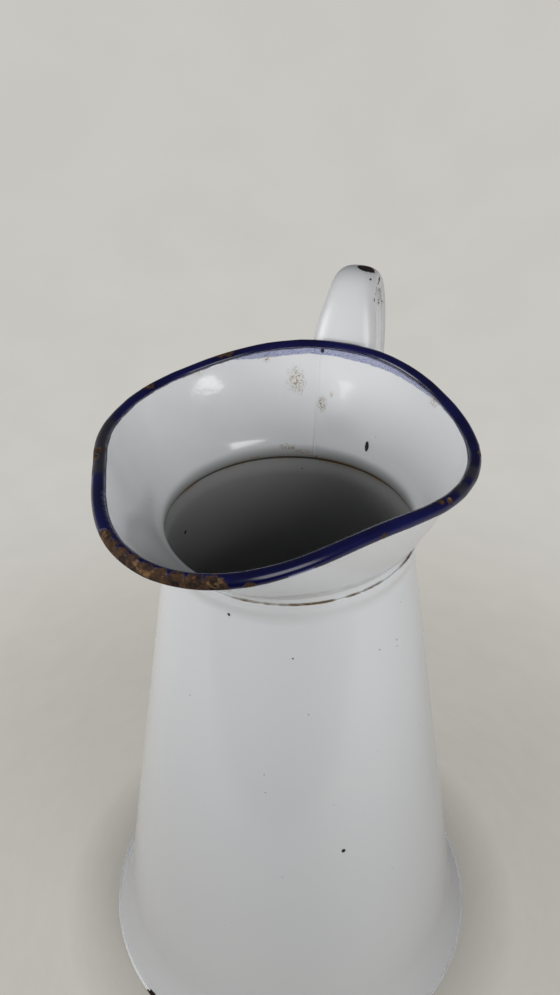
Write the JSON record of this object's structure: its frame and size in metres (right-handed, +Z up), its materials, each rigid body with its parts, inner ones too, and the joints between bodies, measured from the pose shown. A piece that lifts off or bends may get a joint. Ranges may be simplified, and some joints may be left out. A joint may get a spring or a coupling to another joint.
{
  "type": "enamelled pitcher",
  "caption": "Tall enamelled steel pitcher: conical body on a flared foot, wide spouted collar with a rolled rim, and a high ear-shaped strap handle.",
  "frame": {"origin": "centre of the foot ring, on the body's axis, in the plane that the pitcher stands on", "axes": "+Z up along the body's axis, -Y towards the spout, +Y towards the handle, +X to the left of someone who faces the spout from outside"},
  "size_m": [0.208, 0.2325, 0.3527],
  "materials": {
    "enamel_white": "glossy white vitreous enamel on steel",
    "enamel_blue": "glossy cobalt blue vitreous enamel, chipped to rust at the spout",
    "wire_steel": "plain drawn steel wire"
  },
  "bodies": {
    "root": {"body": "enamel_white", "base_pan": "enamel_white", "collar": "enamel_white", "rim_roll": "enamel_blue", "rim_wire": "wire_steel", "handle_strap": "enamel_white", "handle_back_strip": "enamel_white"}
  },
  "joints": []
}
